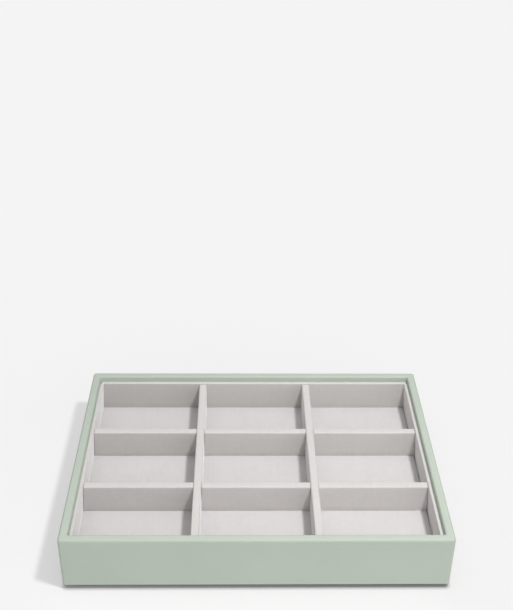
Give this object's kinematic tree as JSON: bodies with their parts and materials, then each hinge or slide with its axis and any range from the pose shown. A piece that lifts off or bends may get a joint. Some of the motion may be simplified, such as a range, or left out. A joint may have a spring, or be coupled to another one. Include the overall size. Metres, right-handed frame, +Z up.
{
  "type": "jewelry tray",
  "caption": "Shallow rectangular stackable jewelry tray in faux leather, lined with velvet and divided into compartments by a lift-out grid of half-lapped dividers.",
  "frame": {"origin": "middle of the plinth's underside, on the table", "axes": "+X to the right along the tray's width, +Y from the front to the back, +Z up"},
  "size_m": [0.25, 0.18, 0.0424],
  "materials": {
    "sage_leather": "fine-grained matte faux leather",
    "grey_velvet": "short-pile velvet",
    "fibre_board": "raw fibreboard",
    "divider_board": "raw fibreboard",
    "lining_card": "grey card",
    "pad_foam": "open-cell foam sheet"
  },
  "bodies": {
    "tray": {"leather_cover": "sage_leather", "plinth_cover": "grey_velvet", "pad_velvet": "grey_velvet", "front_lining_velvet": "grey_velvet", "back_lining_velvet": "grey_velvet", "left_lining_velvet": "grey_velvet", "right_lining_velvet": "grey_velvet", "front_wall_board": "fibre_board", "back_wall_board": "fibre_board", "left_wall_board": "fibre_board", "right_wall_board": "fibre_board", "bottom_board": "fibre_board", "plinth_board": "fibre_board", "front_lining_card": "lining_card", "back_lining_card": "lining_card", "left_lining_card": "lining_card", "right_lining_card": "lining_card", "pad_card": "lining_card", "pad_foam": "pad_foam"},
    "cross_dividers": {"front_cross_divider_core": "divider_board", "front_cross_divider_velvet": "grey_velvet", "back_cross_divider_core": "divider_board", "back_cross_divider_velvet": "grey_velvet"},
    "left_long_divider": {"left_long_divider_core": "divider_board", "left_long_divider_velvet": "grey_velvet"},
    "right_long_divider": {"right_long_divider_core": "divider_board", "right_long_divider_velvet": "grey_velvet"}
  },
  "joints": [
    {"name": "grid_lift", "type": "slide", "parent": "tray", "child": "cross_dividers", "axis": [0, 0, 1], "range_m": [0, 0.045]},
    {"name": "left_divider_lift", "type": "slide", "parent": "cross_dividers", "child": "left_long_divider", "axis": [0, 0, 1], "range_m": [0, 0.035]},
    {"name": "right_divider_lift", "type": "slide", "parent": "cross_dividers", "child": "right_long_divider", "axis": [0, 0, 1], "range_m": [0, 0.035]}
  ]
}
